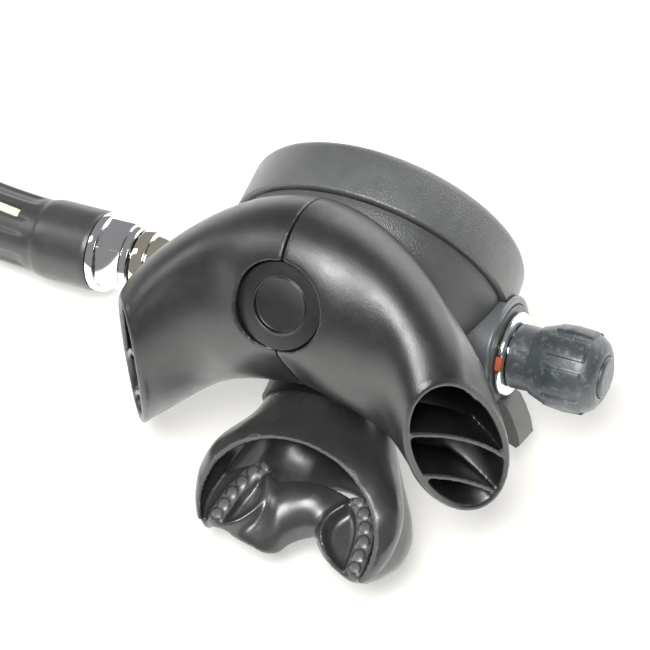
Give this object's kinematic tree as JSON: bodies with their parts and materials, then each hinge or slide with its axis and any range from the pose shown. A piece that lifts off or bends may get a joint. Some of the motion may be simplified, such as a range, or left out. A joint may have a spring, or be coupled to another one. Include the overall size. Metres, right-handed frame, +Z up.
{
  "type": "scuba regulator second stage with hose",
  "caption": "Demand valve that feeds a diver air at ambient pressure, with purge button, adjusting knob, venturi lever, exhaust tee, mouthpiece and coiled low-pressure hose.",
  "frame": {"origin": "bottom centre of the valve without its hose, on the floor that it lies on", "axes": "+X along the valve's barrel on the floor, from the hose to the adjusting knob; +Z up; -Y towards the mouthpiece, +Y towards the front cover"},
  "size_m": [0.4089, 0.1587, 0.087],
  "materials": {
    "case_plastic": "bead-textured dark nylon",
    "ring_plastic": "bead-textured black nylon",
    "tee_plastic": "satin moulded black plastic",
    "badge_plastic": "satin black plastic",
    "cover_plastic": "satin black plastic",
    "trim_plastic": "satin blue-grey plastic",
    "knob_plastic": "worn satin dark plastic",
    "lever_plastic": "satin black plastic",
    "mouth_silicone": "satin black silicone",
    "clamp_plastic": "black nylon",
    "soft_silicone": "translucent silicone",
    "hose_rubber": "smooth black rubber",
    "boot_rubber": "moulded black rubber",
    "seal_rubber": "black nitrile",
    "seat_rubber": "soft seat rubber",
    "bright_chrome": "polished chrome on brass",
    "gold_brass": "polished nickel-gold tint on brass",
    "plain_brass": "turned brass",
    "spring_steel": "stainless spring wire",
    "plate_steel": "stainless sheet",
    "mark_paint": "orange-red inlay",
    "slip_plastic": "white acetal"
  },
  "bodies": {
    "valve": {"case_body": "case_plastic", "cover_ring": "ring_plastic", "slip_washer": "slip_plastic", "front_cover": "cover_plastic", "purge_spring": "spring_steel", "diaphragm": "soft_silicone", "valve_barrel": "bright_chrome", "orifice": "plain_brass", "orifice_o_ring": "seal_rubber", "poppet_spring": "spring_steel", "spindle_gland": "plain_brass", "barrel_trim_ring": "trim_plastic", "lock_ring": "bright_chrome", "index_mark": "mark_paint", "exhaust_valve": "soft_silicone", "tee_right": "tee_plastic", "tee_left": "tee_plastic", "tee_badge": "badge_plastic", "mouthpiece": "mouth_silicone", "mouthpiece_clamp": "clamp_plastic", "inlet_collar": "gold_brass", "hose_nut": "bright_chrome", "hose_stem": "plain_brass", "stem_o_ring": "seal_rubber", "hose_ferrule": "bright_chrome", "hose_tube": "hose_rubber", "hose_coil": "hose_rubber", "hose_boot": "boot_rubber", "end_ferrule": "bright_chrome", "end_fitting": "bright_chrome", "end_o_ring": "seal_rubber"},
    "purge": {"purge_button": "cover_plastic"},
    "plate": {"diaphragm_plate": "plate_steel"},
    "lever": {"demand_lever": "plate_steel"},
    "poppet_group": {"poppet": "plain_brass", "valve_seat": "seat_rubber"},
    "carrier": {"spring_carrier": "plain_brass"},
    "knob": {"adjusting_knob": "knob_plastic", "knob_cap": "knob_plastic", "knob_screw": "plate_steel", "adjusting_spindle": "plain_brass"},
    "venturi": {"venturi_lever": "lever_plastic", "venturi_vane": "lever_plastic"}
  },
  "joints": [
    {"name": "purge_press", "type": "slide", "parent": "valve", "child": "purge", "axis": [0, -0.9896, -0.144], "range_m": [0, 0.003], "stiffness_N_per_m": 1500, "deforming": ["purge_spring", "diaphragm"]},
    {"name": "plate_follow", "type": "slide", "parent": "valve", "child": "plate", "axis": [0, -0.9896, -0.144], "range_m": [0, 0.00301], "deforming": ["diaphragm"]},
    {"name": "lever_tilt", "type": "hinge", "parent": "valve", "child": "lever", "pos_m": [0.02142, 0.03021, 0.02781], "axis": [-0.1414, -0.1426, 0.9796], "range_deg": [0, 8.6]},
    {"name": "poppet_lift", "type": "slide", "parent": "valve", "child": "poppet_group", "axis": [0.9899, -0.0204, 0.1399], "range_m": [0, 0.00085], "deforming": ["poppet_spring"]},
    {"name": "knob_turn", "type": "hinge", "parent": "valve", "child": "knob", "pos_m": [0.05904, 0.02182, 0.03202], "axis": [0.9899, -0.0204, 0.1399], "range_deg": [0, 1080]},
    {"name": "carrier_slide", "type": "slide", "parent": "valve", "child": "carrier", "axis": [0.9899, -0.0204, 0.1399], "range_m": [0, 0.00376], "deforming": ["poppet_spring"]},
    {"name": "venturi_swing", "type": "hinge", "parent": "valve", "child": "venturi", "pos_m": [0.04815, 0.02204, 0.03048], "axis": [0.9899, -0.0204, 0.1399], "range_deg": [0, 60]}
  ],
  "couplings": [
    {"joint": "plate_follow", "follows": "purge_press", "ratio": 1},
    {"joint": "lever_tilt", "follows": "purge_press", "rad_per_m": 49.6},
    {"joint": "poppet_lift", "follows": "purge_press", "ratio": 0.28},
    {"joint": "carrier_slide", "follows": "knob_turn", "m_per_rad": 0.00019894}
  ]
}
